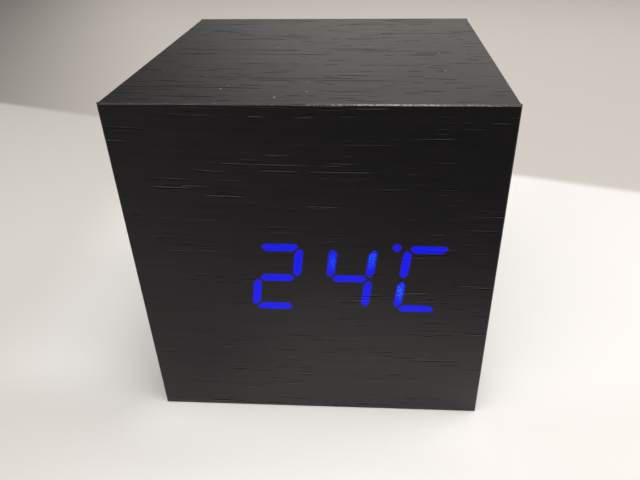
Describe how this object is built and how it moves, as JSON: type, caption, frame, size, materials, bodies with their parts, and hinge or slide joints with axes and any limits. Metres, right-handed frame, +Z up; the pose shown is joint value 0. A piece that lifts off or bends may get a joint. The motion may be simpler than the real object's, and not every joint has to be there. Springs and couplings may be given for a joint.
{
  "type": "digital alarm clock",
  "caption": "Cube alarm clock in black wood veneer; a digital display glows through its front, with a battery door, buttons and a power jack at the back.",
  "frame": {"origin": "middle of the base, on the surface that the clock stands on", "axes": "+Z up, -Y out of the display, +X to the right as seen from the front"},
  "size_m": [0.062, 0.062, 0.062],
  "materials": {
    "black_veneer": "satin, open-pored",
    "glowing_veneer": "lit from behind",
    "board": "raw fibreboard",
    "white_plastic": "matte",
    "diffuser": "translucent film",
    "circuit_board": "solder mask",
    "lamp": "gloss",
    "cover_plastic": "moulded, fine texture",
    "button_plastic": "satin",
    "component_black": "satin",
    "socket_plastic": "satin",
    "nickel": "plated",
    "screw_zinc": "plated",
    "screw_black": "blackened",
    "coin_steel": "satin",
    "can_metal": "satin",
    "capacitor_sleeve": "gloss",
    "sensor_resin": "gloss",
    "ribbon": "satin",
    "cell_sleeve": "gloss",
    "red_insulation": "satin",
    "black_insulation": "satin",
    "brass": "polished"
  },
  "bodies": {
    "case": {"front_veneer": "black_veneer", "top_veneer": "black_veneer", "bottom_veneer": "black_veneer", "left_veneer": "black_veneer", "right_veneer": "black_veneer", "rear_veneer": "black_veneer", "front_board": "board", "top_board": "board", "bottom_board": "board", "left_board": "board", "right_board": "board", "corner_blocks": "board", "lit_segments": "glowing_veneer", "unlit_segments": "black_veneer", "diffuser_film": "diffuser", "light_box": "white_plastic", "display_board": "circuit_board", "segment_lamps": "lamp", "display_screws": "screw_zinc", "clock_chip": "component_black", "timing_crystal": "can_metal", "coin_cell": "coin_steel", "coin_cell_holder": "component_black", "coin_cell_clip": "nickel", "alarm_buzzer": "component_black", "microphone": "can_metal", "temperature_sensor": "sensor_resin", "capacitor": "capacitor_sleeve", "display_socket": "socket_plastic", "ribbon_cable": "ribbon", "rear_cover": "cover_plastic", "cover_screws": "screw_black", "negative_contact": "nickel", "positive_contact": "nickel", "left_link_contact": "nickel", "right_link_contact": "nickel", "battery_cell_top": "cell_sleeve", "battery_cell_middle": "cell_sleeve", "battery_cell_bottom": "cell_sleeve", "black_lead": "black_insulation", "red_lead": "red_insulation", "button_board": "circuit_board", "button_board_screws": "screw_zinc", "button_socket": "socket_plastic", "switch_housings": "component_black", "power_jack": "component_black", "power_jack_pin": "brass", "power_jack_spring": "nickel"},
    "battery_door": {"battery_door": "cover_plastic", "door_latch": "cover_plastic"},
    "set_button": {"set_button": "button_plastic", "set_switch_stem": "component_black"},
    "up_button": {"up_button": "button_plastic", "up_switch_stem": "component_black"},
    "down_button": {"down_button": "button_plastic", "down_switch_stem": "component_black"}
  },
  "joints": [
    {"name": "battery_door_hinge", "type": "hinge", "parent": "case", "child": "battery_door", "pos_m": [0, 0.0292, 0.0458], "axis": [1, 0, 0], "range_deg": [0, 90], "deforming": ["door_latch"]},
    {"name": "set_button_press", "type": "slide", "parent": "case", "child": "set_button", "axis": [0, -1, 0], "range_m": [0, 0.0005], "stiffness_N_per_m": 3200},
    {"name": "up_button_press", "type": "slide", "parent": "case", "child": "up_button", "axis": [0, -1, 0], "range_m": [0, 0.0005], "stiffness_N_per_m": 3200},
    {"name": "down_button_press", "type": "slide", "parent": "case", "child": "down_button", "axis": [0, -1, 0], "range_m": [0, 0.0005], "stiffness_N_per_m": 3200}
  ]
}
